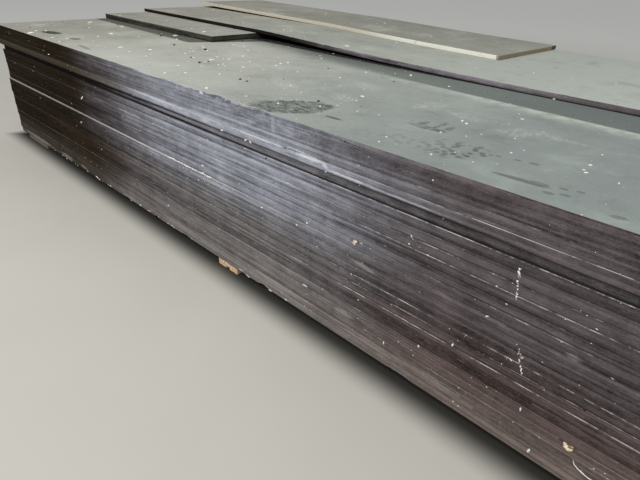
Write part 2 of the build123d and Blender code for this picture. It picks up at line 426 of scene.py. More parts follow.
def recess_colors(g, across, grit, mottle):
    """The sheet that stands back, the one above it and the front's marks: painted shade on the
    recessed sheet, deepest at the left, painted light on its face at the right and on the sheet above at
    the left, and its lower half paler in long pieces, dust with painted light."""
    recessed = g.band(g.z, 0.3415, 0.3422, 0.3599, 0.3606)
    # painted shade on the recessed sheet, deepest at the left
    g.lay(g.times(recessed, g.ramp(across, 1.05, 0.7), 0.75), (15, 10, 5))
    pieces = g.ramp(g.blocks((4, 4, 4), (0.3, 0, 0)), 0.4, 0.44)
    shaded = g.most(g.ramp(g.z, 0.3525, 0.356), g.ramp(g.z, 0.347, 0.3445))
    shaded = g.times(recessed, shaded, g.ramp(g.x, 1.1, 1.6, 0.52, 0))
    g.lay(shaded, (18, 16, 17))
    # a paler band in long pieces on the recessed sheet: dust, with painted light where its lower half
    # catches it
    dusty = g.times(g.band(g.z, 0.3462, 0.3476, 0.3512, 0.3528), pieces)
    dusty = g.times(dusty, g.ramp(g.x, 0.95, 1.1), g.ramp(g.x, 1.62, 1.25, 0, 0.52))
    g.lay(dusty, (164, 162, 168))
    # painted light lifting the recessed sheet's face at the right
    lift = g.times(g.ramp(grit, 0.38, 0.62, 0.8, 1.2), g.ramp(mottle, 0.38, 0.62, 0.5, 1.5))
    lift = g.times(recessed, lift, g.ramp(g.x, 1.25, 1.6, 0, 0.34), g.ramp(g.x, 1.75, 2.05, 1, 0.5))
    g.lay(lift, (150, 144, 146))
    # painted light on the sheet above the recess, at the left
    painted_light_above = g.band(g.z, 0.3596, 0.3604, 0.3818, 0.3828)
    g.lay(g.times(painted_light_above, g.ramp(across, 1.2, 0.85, 0, 0.13)), (150, 138, 120))
    dimmer = g.times(g.ramp(g.z, 0.381, 0.386), g.band(g.x, 0.95, 1.05, 1.25, 1.42))
    g.lay(g.times(dimmer, 0.2), (96, 94, 96))
    bright, pale = front_marks(g)
    pale_color = g.mix(g.ramp(g.z, 0.2, 0.3), (182, 174, 168), (188, 190, 196))
    g.lay(g.times(pale, 0.42), pale_color)
    # bright marks: dust, and along sheet 20 a painted highlight
    g.lay(g.times(bright, 0.88), (222, 228, 236))


def sealed_edge(name, near=(97, 89, 91), stack=True, dark_left=False):
    """Painted edge: purple brown, with dust, fine plies showing through and worn arrises.

    near is its colour at the right end. stack adds what only the stack's own front shows.
    """
    g = Graph(name)
    level, tone, wear, raw, glint, seam = (
        g.attribute(a) for a in ("level", "tone", "wear", "raw", "glint", "seam"))
    clouds = g.noise(1.8, 5, 0.6, stretch=(1, 1, 7))
    mottle = g.noise(22, 7, 0.72, stretch=(1, 1, 2.6))
    shade = g.times(g.add(clouds, mottle), 0.5)
    across = g.add(g.x, g.times(g.add(clouds, -0.5), 0.6))
    g.color = g.mix(g.ramp(shade, 0.36, 0.62), tuple(0.86 * c for c in near), near)
    if stack:
        front_colors(g, across, shade)
    if dark_left:
        g.lay(g.ramp(g.x, 1.7, 2.05), (108, 100, 103))
        g.lay(g.ramp(g.x, 1.38, 0.98), (33, 28, 25))

    # plies, grit, smears and long patches make it lighter and darker
    plies = g.noise(1, 6, 0.78, stretch=(5, 5, 560))
    wide_plies = g.noise(1, 4, 0.65, stretch=(2.4, 2.4, 190), offset=(4, 0, 2))
    grit = g.noise(240, 3, 0.7, stretch=(1, 1, 1.6))
    patches = g.blocks((3.1, 3.1, 210))
    smears = g.noise(6, 5, 0.6, stretch=(1.6, 1.6, 0.5), offset=(0, 3, 0))
    relief = g.add(
        g.times(plies, 0.5), g.times(wide_plies, 0.45), g.times(mottle, 1.2), g.times(grit, 1.25),
        g.times(tone, 1.3), smears, g.times(patches, 0.66), -2.18,
    )
    g.color = g.vector("MULTIPLY", g.color, g.most(relief, 0.25))
    grooves = g.noise(1, 3, 0.6, stretch=(3.5, 3.5, 300), offset=(1, 0, 7))
    torn = g.ramp(g.noise(9, 4, stretch=(1, 1, 5), offset=(2, 5, 0)), 0.5, 0.58)
    g.lay(g.times(g.ramp(grooves, 0.375, 0.345), torn, 0.75), (24, 20, 20))
    if stack:
        recess_colors(g, across, grit, mottle)

    # dust and painted highlight on the upper arris, in broken lines, and painted shade on it at the left
    broken = g.noise(14, 7, 0.78)
    line = g.ramp(glint, 0.9, 1, 0, g.ramp(g.x, 1.62, 1.3, 0, 0.12))
    arris = g.ramp(g.add(level, line), 0.925, 0.965)
    arris = g.times(arris, g.ramp(g.add(broken, g.times(glint, 0.36)), 0.55, 0.7))
    left = g.ramp(across, 1.1, 0.62)
    arris = g.times(arris, g.ramp(left, 0, 1, 0.92, g.ramp(glint, 0.35, 1, 0.05, 0.38)))
    # painted shade on the upper arris at the left
    painted_shade_arris = g.times(g.ramp(level, 0.93, 0.96), left, g.ramp(glint, 0.5, 0.2))
    g.lay(g.times(painted_shade_arris, 0.5), (14, 11, 8))
    g.lay(arris, g.mix(g.ramp(g.x, 1.4, 1.7), (198, 199, 203), (204, 200, 198)))

    # shade in the joint below
    joint = g.most(
        g.times(g.ramp(level, 0.11, 0.04), g.add(0.56, g.times(seam, 0.42))),
        g.times(g.ramp(level, 0.4, 0.05), seam, 0.4),
    )
    if stack:
        closed = g.times(g.band(g.z, 0.352, 0.356, 0.37, 0.374), g.ramp(g.x, 2.1, 2.22))
        joint = g.times(joint, g.ramp(closed, 0, 1, 1, 0.3), g.ramp(g.z, 0.374, 0.38, 1, 0.45))
        overhang = g.times(g.band(g.z, 0.3578, 0.3588, 0.3616, 0.3627), g.ramp(g.x, 2.18, 2.06))
        joint = g.most(joint, g.times(overhang, g.ramp(g.x, 0.9, 1.2, 0, 0.82)))
    g.lay(joint, (8, 6, 6))

    # broken places are chalky, and some of them show raw wood
    chalk = g.noise(90, 4, 0.7)
    whiteness = g.times(wear, g.ramp(chalk, 0.36, 0.62, 0.3, 0.85))
    hollow = g.mix(g.ramp(level, 0.4, 0.55), (156, 154, 158), (84, 79, 78))
    g.lay(whiteness, g.mix(g.ramp(level, 0.93, 0.99), hollow, (218, 220, 212)))
    fibres = g.noise(1, 3, 0.7, stretch=(130, 130, 200))
    wood = g.mix(g.ramp(fibres, 0.42, 0.55), (150, 112, 74), (255, 244, 216))
    g.lay(g.ramp(g.add(g.times(raw, 1.1), fibres), 1.05, 1.12), wood)
    bands = g.math("SINE", g.times(level, 13 * math.pi))
    height = g.add(
        g.times(plies, 0.65), g.times(bands, 0.12), g.times(grit, 0.35), g.times(mottle, 0.4),
        g.times(patches, 0.3),
    )
    return g.finish(g.ramp(mottle, 0.3, 0.7, 0.6, 0.85), g.bump(height, 0.0012), 0.04)


def raw_edge(name):
    """Sawn edge of plywood: pale plies of two tones, greyer at the left."""
    g = Graph(name)
    level = g.attribute("level")
    fibres = g.noise(1, 5, 0.65, stretch=(40, 40, 900))
    ply = g.math("SINE", g.times(level, 9 * math.pi))
    tones = g.ramp(g.add(ply, g.times(fibres, 1.6)), -0.5, 1.7)
    clean = g.mix(tones, (250, 240, 218), (255, 255, 250))
    dusty = g.mix(tones, (202, 192, 170), (230, 223, 205))
    g.color = g.mix(g.ramp(g.x, 1, 1.28), dusty, clean)
    # painted shade: the right end is darker and browner than the front
    painted_shade_end = g.mix(tones, (120, 100, 76), (168, 148, 116))
    g.lay(g.ramp(g.x, 1.606, 1.611, 0, 0.9), painted_shade_end)
    dark = g.noise(22, 4, stretch=(1, 1, 2))
    g.lay(g.ramp(dark, 0.64, 0.76, 0, 0.6), (128, 112, 92))
    return g.finish(0.85, g.bump(g.add(fibres, g.times(ply, 0.4)), 0.0005), 0.2)


def bearer_wood(name):
    """Pale dirty wood. The wide bearer at the left is as dusty as the ground."""
    g = Graph(name)
    grain = g.noise(1, 6, 0.65, stretch=(160, 6, 160))
    g.color = g.mix(g.ramp(grain, 0.4, 0.6), (246, 226, 194), (222, 176, 126))
    dirt = g.noise(90, 5, 0.7)
    g.lay(g.ramp(dirt, 0.54, 0.66, 0, 0.8), (120, 92, 66))
    g.lay(g.ramp(dirt, 0.42, 0.3, 0, 0.6), (255, 244, 224))
    dust = g.mix(dirt, (84, 77, 62), (142, 134, 108))
    g.lay(g.ramp(g.x, 0.3, 0.26, 0, 0.92), dust)
    return g.finish(0.85, g.bump(grain, 0.001), 0.2)


def speckled(name, color, second, scale, roughness):
    g = Graph(name)
    tone = g.noise(scale, 3)
    rough = g.ramp(tone, 0.3, 0.7, roughness, roughness - 0.1)
    g.color = g.mix(tone, color, second)
    return g.finish(rough, g.bump(tone, 0.0004), 0.3)


def pale_floor(name):
    """Pale floor, a little lighter far off, with a painted shadow close to the stack and under it."""
    g = Graph(name)
    tone = g.noise(3)
    near = g.mix(tone, (206, 203, 194), (198, 195, 186))
    far = g.node("VectorMath", (0, g.place), (1, (1.2, 0.6, 0)), operation="DISTANCE")
    g.color = g.mix(g.ramp(far.outputs["Value"], 1.6, 6), near, (238, 236, 230))
    outside = g.most(g.times(g.x, -1), g.add(g.x, -LENGTH), g.times(g.y, -1), g.add(g.y, -WIDTH))
    # painted shadow at the stack's foot and under it
    g.lay(g.ramp(outside, -0.004, 0.075, 0.95, 0), (24, 23, 19))
    return g.finish(0.9, g.bump(tone, 0.0004), 0.1)


top_dust = dusty_face("top_sheet_dust", marks=top_sheet_marks)
board_dust = dusty_face("short_board_dust", (168, 170, 159), (162, 169, 161))
long_board_dust = dusty_face("long_board_dust", (166, 168, 157), (188, 194, 185), long_board_marks)
raw_board_dust = dusty_face("raw_edge_board_dust", (150, 149, 138), (164, 166, 156))
ledge_dust = speckled("dust_on_ledge", (192, 189, 183), (160, 156, 150), 60, 0.9)
thin_dust = speckled("thin_dust_on_film", (136, 133, 133), (88, 84, 84), 90, 0.9)
film = speckled("film_and_shaded_ledge", (44, 38, 36), (58, 50, 46), 24, 0.6)
edge_paint = sealed_edge("sealed_edge_paint")
short_edge_paint = sealed_edge("short_board_edge_paint", (86, 81, 74), stack=False)
long_edge_paint = sealed_edge("long_board_edge_paint", (132, 125, 131), stack=False, dark_left=True)
sawn_edge = raw_edge("raw_sawn_edge")
timber = bearer_wood("bearer_timber")
white_paint = speckled("white_flakes", (255, 254, 250), (236, 234, 226), 300, 0.8)
black_crumb = speckled("black_crumbs", (26, 24, 22), (48, 44, 40), 300, 0.8)
floor_paint = pale_floor("pale_floor")


# Boards

def plan_corners(node):
    """Front left, front right, back right and back left corner of a board, in plan."""
    points = [vertex.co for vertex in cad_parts[node].data.vertices]
    found = []
    for side, depth in ((-1, -1), (1, -1), (1, 1), (-1, 1)):
        corner = max(points, key=lambda point: side * point.x + depth * point.y)
        found.append(Vector((corner.x, corner.y)))
    return found


def clamp(value):
    return min(1, max(0, value))


def broken_depth(places, distance):
    """How deep the broken places cut at this distance from the left end, and how raw."""
    deepest = 0
    rawness = 0
    for middle, length, depth, *raw in places:
        off = 2 * (distance - middle) / length
        if abs(off) < 1:
            ragged = 0.85 + 0.35 * noise.noise(Vector((distance * 26, middle, 0)))
            ragged += 0.35 * noise.noise(Vector((distance * 85, middle, 3)))
            cut = depth * (1 - off * off) * ragged
            if cut > deepest:
                deepest = cut
                rawness = raw[0] * max(0, 1 - 2.6 * off * off) if raw else 0
    return deepest, rawness


@dataclass
class Board:
    """A sheet or board built from rings of points around its edge.

    under(place) is the height of its lower face. glint is the dust and painted highlight on the
    front's upper arris, at the left and the right end. seam, at the same ends, makes the lower arris
    larger, and crown the upper one. upper and lower are the broken places of the two front arrises.
    """

    name: str
    corners: list
    under: object
    thickness: float
    step: float = 0.009
    upper: tuple = ()
    lower: tuple = ()
    tone: float = 0.5
    seed: int = 0
    glint: tuple = (0, 0)
    seam: tuple = (1, 1)
    crown: float = 1
    raw_sides: tuple = ()

    # size of an arris in metres, and how much of it a raw edge has
    ARRIS = 0.0009
    RAW_ARRIS = 0.35
    # radius of the corners in plan, and the angles of the points on them
    CORNER = 0.0015
    ARC = (30, 60)
    # spacing of the points along the ends
    CROSS_STEP = 0.03
    # depth of a broken place that counts as fully worn
    WORN = 0.0016
    # how much of the thickness the arrises may take
    MOST = 0.9
    # depth of an arris' middle as a share of its size, and what wear adds
    ROUND = 0.293
    HOLLOW = 0.25
    # how far the painted edge swings in long waves and in short ones
    WAVE = 0.00016
    RIPPLE = 0.00014
    # where the front's dust and painted highlight and its seams begin to change, and over what length
    GLINT_FROM = 1.45
    SEAM_FROM = 1.05
    CHANGE = 0.45
    SHARP = 38

    def __post_init__(self):
        length = (self.corners[1] - self.corners[0]).length
        width = (self.corners[3] - self.corners[0]).length
        count = max(2, round(length / self.step))
        stations = {i / count for i in range(count + 1)}
        for middle, size, *rest in (*self.upper, *self.lower):
            stations.update(clamp((middle + size * k / 16) / length) for k in range(-9, 10))
        self.stations = sorted(stations)
        self.cross = max(2, round(width / self.CROSS_STEP))

    def ring(self):
        """Points around the edge as (place, outward, side, distance along the side)."""
        points = []
        for side in range(4):
            a = self.corners[side]
            b = self.corners[(side + 1) % 4]
            along = (b - a).normalized()
            out = Vector((along.y, -along.x))
            last_along = (a - self.corners[side - 1]).normalized()
            last_out = Vector((last_along.y, -last_along.x))
            centre = a + (along - last_along) * self.CORNER
            corner = []
            for angle in map(math.radians, self.ARC):
                normal = last_out * math.cos(angle) + out * math.sin(angle)
                corner.append((centre + normal * self.CORNER, normal.normalized(), side, 0))
            if side == 0:
                shares = self.stations
            elif side == 2:
                shares = [1 - s for s in reversed(self.stations)]
            else:
                shares = [i / self.cross for i in range(1, self.cross)]
            inner = (b - a).length - 2 * self.CORNER
            distances = [self.CORNER + share * inner for share in shares]
            run = [(a + along * distance, out, side, distance) for distance in distances]
            if side == 2:
                self.back_start = len(points)
            points += corner + run
        # the first corner goes to the end, so that the ring starts on the front
        size = len(self.ARC)
        return points[size:] + points[:size]

    def along_front(self, pair, start, side, distance, elsewhere):
        """Between the pair's left and right value, which change over a short way from start."""
        share = clamp((distance - start) / self.CHANGE) if side == 0 else elsewhere
        return pair[0] + (pair[1] - pair[0]) * share

    def dust_and_glint_at(self, side, distance):
        return self.along_front(self.glint, self.GLINT_FROM, side, distance, 0.5)

    def seam_at(self, side, distance):
        return self.along_front(self.seam, self.SEAM_FROM, side, distance, 0)

    def section(self, place, outward, side, distance):
        """One slice through the edge, from the upper face to the lower one."""
        def uneven(scale, layer):
            return noise.noise(Vector((place.x * scale, place.y * scale, layer)))

        def arris(size, places):
            """How far an arris reaches, how worn it is and how raw."""
            size *= self.ARRIS * (self.RAW_ARRIS if side in self.raw_sides else 1)
            cut, raw = broken_depth(places if side == 0 else (), distance)
            return max(size, 1.4 * cut), min(1, cut / self.WORN), raw

        spot = Vector((place.x * 34, place.y * 34, self.seed * 7.3))
        rough = noise.noise(spot)
        nick = max(0, noise.noise(spot * 0.31 + Vector((5, 0, 0))) - 0.4) * 5
        top = self.crown * (1 + 0.55 * rough + nick)
        seam = self.seam_at(side, distance)
        bottom = seam * (1 - 0.5 * rough)
        top, wear_top, raw_top = arris(top, self.upper)
        bottom, wear_bottom, raw_bottom = arris(bottom, self.lower)
        most = self.thickness * self.MOST
        total = top + bottom
        if total > most:
            top *= most / total
            bottom *= most / total
        hollow_top = top * (self.ROUND + self.HOLLOW * wear_top)
        hollow_bottom = bottom * (self.ROUND + self.HOLLOW * wear_bottom)
        face = self.thickness - top - bottom
        wave = self.WAVE * uneven(9, self.seed * 3.1)
        push = [wave + self.RIPPLE * uneven(50, self.seed + k) for k in range(2)]
        # how far in, how far down, how worn and how raw
        rows = (
            (top, 0, wear_top * 0.8, raw_top),
            (hollow_top, hollow_top, wear_top, raw_top),
            (0, top, wear_top * 0.8, raw_top),
            (-push[0], top + face * 0.25, 0, raw_top),
            (-push[1], top + face * 0.75, 0, raw_bottom),
            (0, self.thickness - bottom, wear_bottom * 0.8, raw_bottom),
            (hollow_bottom, self.thickness - hollow_bottom, wear_bottom, raw_bottom),
            (bottom, self.thickness, 0, raw_bottom),
        )
        looks = self.tone, self.dust_and_glint_at(side, distance), clamp((seam - 1) / 1.8)
        high = self.under(place) + self.thickness
        slices = []
        for inset, drop, wear, raw in rows:
            spot = place - outward * inset
            level = 1 - drop / self.thickness
            slices.append((Vector((*spot, high - drop)), level, wear, raw, *looks))
        return slices

    def build(self, materials):
        """materials: upper face, painted edge, raw edge and lower face."""
        ring = self.ring()
        slices = [self.section(*point) for point in ring]
        rows = len(slices[0])
        count = len(ring)
        vertices, *looks = zip(*(row for one in slices for row in one))
        faces = []
        kinds = []
        for i in range(count):
            j = (i + 1) % count
            kind = 2 if ring[i][2] in self.raw_sides and ring[j][2] == ring[i][2] else 1
            for k in range(rows - 1):
                faces.append((i * rows + k, i * rows + k + 1, j * rows + k + 1, j * rows + k))
                kinds.append(kind)
        n = len(self.stations)
        back = self.back_start
        for level, kind in ((0, 0), (rows - 1, 3)):
            loop = [index * rows + level for index in range(count)]
            quads = [
                [loop[i], loop[i + 1], loop[back + n - 2 - i], loop[back + n - 1 - i]]
                for i in range(n - 1)
            ]
            ends = [loop[n - 1:back + 1], loop[back + n - 1:] + [loop[0]]]
            for face in quads + ends:
                faces.append(face if level == 0 else face[::-1])
                kinds.append(kind)
        mesh = bpy.data.meshes.new(self.name)
        mesh.from_pydata(vertices, [], faces)
        for material in materials:
            mesh.materials.append(material)
        mesh.polygons.foreach_set("material_index", kinds)
        for name, values in zip(("level", "wear", "raw", "tone", "glint", "seam"), looks):
            mesh.attributes.new(name, "FLOAT", "POINT").data.foreach_set("value", values)
        mesh.update()
        mesh.shade_smooth()
        mesh.set_sharp_from_angle(angle=math.radians(self.SHARP))
        # the two large faces stay flat, also where the arris is broken
        mesh.polygons.foreach_set("use_smooth", [kind in (1, 2) for kind in kinds])
        return show(self.name, mesh)


def show(name, data):
    thing = bpy.data.objects.new(name, data)
    bpy.context.collection.objects.link(thing)
    return thing


def dress(thing, node):
    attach(thing, "root")
    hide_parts(node)


def flat(node):
    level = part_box(node)[0].z
    return lambda place: level


# Sheets whose upper arris catches dust and a painted highlight, and whose lower one stands off its
# neighbour
GLINT = {20: (0.74, 0.42), 18: (0, 0.36), 16: (0.45, 0.1), 15: (0, 0.3), 13: (0, 0.22),
         12: (1, 0.48), 9: (0, 0.2), 8: (0, 0.22), 7: (0, 0.34), 6: (0, 0.24),
         4: (0, 0.62), 3: (0, 0.1)}
SEAM = {23: (0.5, 0.5), 22: (0.5, 0.5), 20: (3, 1.7), 19: (2.8, 1.8), 18: (2.4, 1.8), 15: (1.9, 1.9),
        13: (2.2, 1.9), 12: (1.7, 1.5), 11: (1.6, 1.6), 9: (1.8, 1.8), 8: (1.5, 1.5), 6: (1.7, 1.7),
        4: (1.6, 1.6), 3: (1.8, 1.8)}
TONE = {23: 0.5, 22: 0.44, 21: 0.54, 20: 0.7, 19: 0.24, 18: 0.46, 13: 0.58, 12: 0.62, 7: 0.4, 6: 0.34,
        4: 0.56, 3: 0.5, 2: 0.58, 1: 0.64}

front_lines = {}
for number in range(1, SHEETS + 1):
    sheet = f"sheet_{number:02d}"
    corners = plan_corners(sheet)
    front_lines[number] = corners[:2]
    board = Board(
        f"plywood_{number:02d}", corners, flat(sheet), SHEET,
        step=0.005 if number == SHEETS else 0.009,
        upper=[place[1:] for place in BROKEN_UPPER if place[0] == number],
        lower=[place[1:] for place in BROKEN_LOWER if place[0] == number],
        tone=TONE.get(number, 0.5 + 0.14 * math.sin(number * 12.9898)),
        seed=number,
        glint=GLINT.get(number, (0, 0)),
        seam=SEAM.get(number, (1.2, 1.2)),
        crown=0.5 if number in (21, 22) else 1,
    )
    # the sheet below the recess gets the dark film on its ledge: painted shade under the sheet that
    # stands back
    face = {SHEETS: top_dust, RECESS_SHEET: film, LEDGE_SHEET: ledge_dust}.get(number, thin_dust)
    dress(board.build((face, edge_paint, sawn_edge, film)), sheet)

short_corners = plan_corners("offcut_board")
short_board = Board("short_board", short_corners, flat("offcut_board"), SHEET,
                    tone=0.3, seed=31, glint=(0.3, 0.3))
dress(short_board.build((board_dust, short_edge_paint, sawn_edge, film)), "offcut_board")

# The long board lies on the short one and bends down to the top sheet in two arcs
CREST_RUN = 0.11
BEND_RUN = 1.12
BEND_CLEARANCE = 0.006
BEND_DROP = SHEET
long_corners = plan_corners("long_board")
long_along = (long_corners[1] - long_corners[0]).normalized()
BEND_START = max((corner - long_corners[0]).dot(long_along) for corner in short_corners) + BEND_CLEARANCE


def bend(place):
    """Height of the long board's underside above the top sheet."""
    beyond = (place - long_corners[0]).dot(long_along) - BEND_START
    beyond = min(BEND_RUN, max(0, beyond))
    if beyond < CREST_RUN:
        return BEND_DROP * (1 - beyond * beyond / (BEND_RUN * CREST_RUN))
    return BEND_DROP * (BEND_RUN - beyond) ** 2 / (BEND_RUN * (BEND_RUN - CREST_RUN))


NICK = (1.952, 0.036, 0.005)
long_board = Board("long_cut_board", long_corners, lambda place: STACK_TOP + bend(place), THIN,
                   step=0.006, upper=[NICK], tone=0.6, seed=41, glint=(0.25, 0.25), seam=(2.2, 2.2))
dress(long_board.build((long_board_dust, long_edge_paint, sawn_edge, film)), "long_board")

RAW_LIFT = 0.009
RAW_OVERHANG = 0.005
SEAT_GAP = 0.0002


def raw_under(place):
    along = (place - long_corners[0]).dot(long_along)
    lift = RAW_LIFT * max(0, (BEND_START - along) / (BEND_START + RAW_OVERHANG))
    return STACK_TOP + THIN + SEAT_GAP + bend(place) + lift


raw_board = Board("raw_edge_cut_board", plan_corners("raw_edge_board"), raw_under, THIN,
                  step=0.006, tone=0.4, seed=47, raw_sides=(0, 1))
dress(raw_board.build((raw_board_dust, long_edge_paint, sawn_edge, film)), "raw_edge_board")

for name in ("left_bearer", "middle_bearer", "right_bearer"):
    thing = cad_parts[name]
    thing.data.materials.clear()
    thing.data.materials.append(timber)


# Flakes of white paint and black crumbs, lying on the boards and caught on the sheets' edges

FULL_TURN = 6.2832
ANY_TURN = (0, 6.28)
STRAND_SIDES = 6


class Lumps:
    """Many small irregular lumps in one mesh."""

    def __init__(self, seed):
        self.chance = random.Random(seed)
        self.vertices = []
        self.faces = []

    def skin(self, rings, sides):
        """Faces around the last rings of points, and a cap at both ends."""
        start = len(self.vertices) - rings * sides
        last = start + (rings - 1) * sides
        for first in range(start, last, sides):
            for k in range(sides):
                a = first + k
                b = first + (k + 1) % sides
                self.faces.append((a, b, b + sides, a + sides))
        self.faces.append(tuple(range(last, last + sides)))
        self.faces.append(tuple(reversed(range(start, start + sides))))

    def add(self, place, along, aside, out, length, width, height):
        """One lump on a surface, whose outward direction is out."""
        sides = self.chance.choice((5, 6, 7))
        turn = self.chance.uniform(*ANY_TURN)
        shape = [self.chance.uniform(0.7, 1.1) for k in range(sides)]
        for level, share in ((-0.15, 0.95), (0.55, 1), (1, 0.6)):
            for k in range(sides):
                angle = turn + FULL_TURN * k / sides
                radius = shape[k] * share
                lift = level * height * self.chance.uniform(0.85, 1.15)
                self.vertices.append(
                    place + along * (math.cos(angle) * radius * length / 2)
                    + aside * (math.sin(angle) * radius * width / 2) + out * lift
                )
        self.skin(3, sides)

    def strand(self, points, radius):
        """A thin bent splinter through these points."""
        last = len(points) - 1
        for index, point in enumerate(points):
            ahead = (points[min(index + 1, last)] - points[max(index - 1, 0)]).normalized()
            across = ahead.cross(FORWARD).normalized()
            other = ahead.cross(across)
            size = radius * (0.35 if index in (0, last) else 1)
            for k in range(STRAND_SIDES):
                angle = FULL_TURN * k / STRAND_SIDES
                self.vertices.append(point + (across * math.cos(angle) + other * math.sin(angle)) * size)
        self.skin(len(points), STRAND_SIDES)

    def build(self, name, material):
        mesh = bpy.data.meshes.new(name)
        mesh.from_pydata(self.vertices, [], self.faces)
        mesh.materials.append(material)
        mesh.update()
        thing = show(name, mesh)
        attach(thing, "root")


UP = Vector((0, 0, 1))
FORWARD = Vector((0, -1, 0))
raw_corners = plan_corners("raw_edge_board")
# how far lumps keep from the boards' sides, and from the front edges in front and behind
CLEAR = 0.004
MARGIN = 0.01
BEFORE = 0.012
BEHIND = 0.006


def on_top(lumps, x, y, length, width, height):
    """A lump on whichever upper face is uppermost there, clear of the boards' edges."""
    place = Vector((STACK.x + x, STACK.y + y))
    level = STACK_TOP
    beyond = place - long_corners[0]
    aside = Vector((-long_along.y, long_along.x))
    if beyond.dot(aside) > CLEAR and beyond.dot(long_along) > CLEAR:
        level = STACK_TOP + THIN + bend(place)
        left, right = raw_corners[:2]
        front = (left + (right - left) * ((place.x - left.x) / (right.x - left.x))).y
        if place.y > front - BEFORE:
            if place.x > right.x - MARGIN or place.y < front + BEHIND:
                return
            level = raw_under(place) + THIN
    else:
        left, right = short_corners[:2]
        if left.x < place.x < right.x + MARGIN and place.y > right.y - MARGIN:
            if place.x > right.x - MARGIN or place.y < left.y + BEHIND:
                return
            level = STACK_TOP + SHEET
    turn = lumps.chance.uniform(*ANY_TURN)
    along = Vector((math.cos(turn), math.sin(turn), 0))
    aside = Vector((-math.sin(turn), math.cos(turn), 0))
    if level + 2 * height < cad_bounds[1][2]:
        lumps.add(Vector((place.x, place.y, level)), along, aside, UP, length, width, height)


def on_front(lumps, x, z, length, width, height, tilt=0):
    """A lump on the front edge of the sheet at this height above the ground."""
    number = min(SHEETS, max(1, int((z - STACK_BOTTOM) / SHEET) + 1))
    left, right = front_lines[number]
    line = left + (right - left) * ((STACK.x + x - left.x) / (right.x - left.x))
    along = Vector((math.cos(tilt), 0, math.sin(tilt)))
    aside = Vector((-math.sin(tilt), 0, math.cos(tilt)))
    lumps.add(Vector((line.x, line.y, z)), along, aside, FORWARD, length, width, height)


def draw(low, extra, power):
    """A random size, more often small than large."""
    return low + extra * chance.random() ** power


white = Lumps(5)
black = Lumps(9)
chance = random.Random(21)
# scattered on the upper faces: fine flakes everywhere, larger ones near the front, crumbs
for k in range(300):
    x = 2.4 * chance.random()
    y = 1.16 * chance.random() ** 1.3
    size = draw(0.0011, 0.0062, 6) * (1 if x < 1.35 else 0.62)
    on_top(white, x, y, size * chance.uniform(1, 2.2), size, 0.0008 + size * 0.12)
for k in range(70):
    x = chance.gauss(1.05, 0.4)
    y = abs(chance.gauss(0.22, 0.22))
    if 0.02 < x < 2.4 and 0.01 < y < 1.15:
        size = draw(0.0025, 0.0085, 2) * (1 if x < 1.25 else 0.55)
        on_top(white, x, y, size * chance.uniform(1, 2), size, 0.0008 + size * 0.15)
for k in range(55):
    x = 2.35 * chance.random()
    y = 1.1 * chance.random()
    size = draw(0.0015, 0.0045, 3)
    on_top(black, x, y, size * chance.uniform(1, 1.8), size, size * 0.45)

# Flakes and crumbs that the photograph shows one by one: x, y and size, which for the small
# flakes counts steps of 1.3 by 0.8 mm
LARGE_FLAKES = (
    (0.62, 0.395, 0.014), (0.3, 0.355, 0.011), (0.47, 0.23, 0.013), (0.12, 0.31, 0.014),
    (1.36, 0.02, 0.01), (1.17, 0.03, 0.009), (1.62, 0.24, 0.008), (1.55, 0.52, 0.01),
    (0.33, 0.012, 0.026), (1.86, 0.245, 0.007), (1.875, 0.235, 0.007),
)
SMALL_FLAKES = (
    (1.913, 0.167, 4), (1.925, 0.197, 3), (2.004, 0.146, 4), (2.012, 0.174, 3), (1.975, 0.222, 3),
    (2.11, 0.159, 4), (2.162, 0.144, 3), (1.944, 0.078, 3), (2.106, 0.253, 4), (1.984, 0.061, 3),
    (1.467, 0.045, 6), (1.176, 0.203, 7), (1.269, 0.259, 6), (1.448, 0.188, 5), (1.512, 0.161, 5),
    (1.734, 0.153, 4), (1.637, 0.142, 4), (1.69, 0.141, 4), (1.344, 0.31, 6), (1.097, 0.195, 8),
    (1.577, 0.296, 5), (1.051, 0.267, 9), (0.933, 0.11, 9), (0.932, 0.267, 8), (0.577, 0.277, 10),
)
CRUMBS = (
    (0.93, 0.31, 0.013), (0.8, 0.28, 0.01), (1.1, 0.175, 0.011), (1.02, 0.2, 0.01),
    (1.33, 0.135, 0.009), (0.6, 0.35, 0.01), (1.57, 0.42, 0.008),
)
for x, y, size in LARGE_FLAKES:
    on_top(white, x, y, size * 1.5, size * 0.8, 0.0012 + size * 0.12)
for x, y, size in SMALL_FLAKES:
    on_top(white, x, y, size * 0.0013, size * 0.0008, 0.0009)
for x, y, size in CRUMBS:
    on_top(black, x, y, size * 0.8, size * 0.5, size * 0.3)

# scattered on the front, mostly at the joints
for k in range(360):
    x = 2.42 * chance.random() ** 0.8
    joint = STACK_BOTTOM + SHEET * chance.randint(1, SHEETS - 1)
    at_joint = chance.random() < 0.75
    z = joint + (chance.gauss(-0.0012, 0.0012) if at_joint else chance.uniform(-0.008, 0.008))
    size = draw(0.0008, 0.0016, 4)
    on_front(white, x, z, size * chance.uniform(1, 3), size, 0.0006, chance.gauss(0, 0.4))
